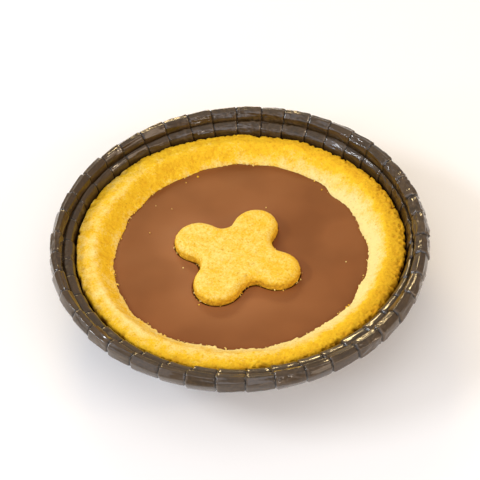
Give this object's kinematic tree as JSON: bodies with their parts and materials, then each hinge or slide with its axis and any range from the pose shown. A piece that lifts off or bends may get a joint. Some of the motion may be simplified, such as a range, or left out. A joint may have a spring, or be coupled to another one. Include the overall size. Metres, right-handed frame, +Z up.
{
  "type": "tartlet",
  "caption": "Round shortcrust tartlet with smooth chocolate filling and a lobed shortbread biscuit on top, in a pleated brown paper baking case with a rolled rim.",
  "frame": {"origin": "centre of the case's flat base, where the tartlet rests", "axes": "+Z up, out of the filling; +X to the right and -Y towards the viewer in the picture"},
  "size_m": [0.1196, 0.1196, 0.0221],
  "materials": {
    "case_paper": "dark brown coated baking paper, pleated and glossy",
    "pastry": "baked shortcrust pastry, matt and crumbly, golden yellow",
    "chocolate": "set milk chocolate cream, smooth with a soft satin sheen",
    "biscuit": "baked shortbread, matt and sandy, golden yellow"
  },
  "bodies": {
    "root": {"paper_case": "case_paper", "crust": "pastry", "filling": "chocolate", "cookie": "biscuit"}
  },
  "joints": []
}
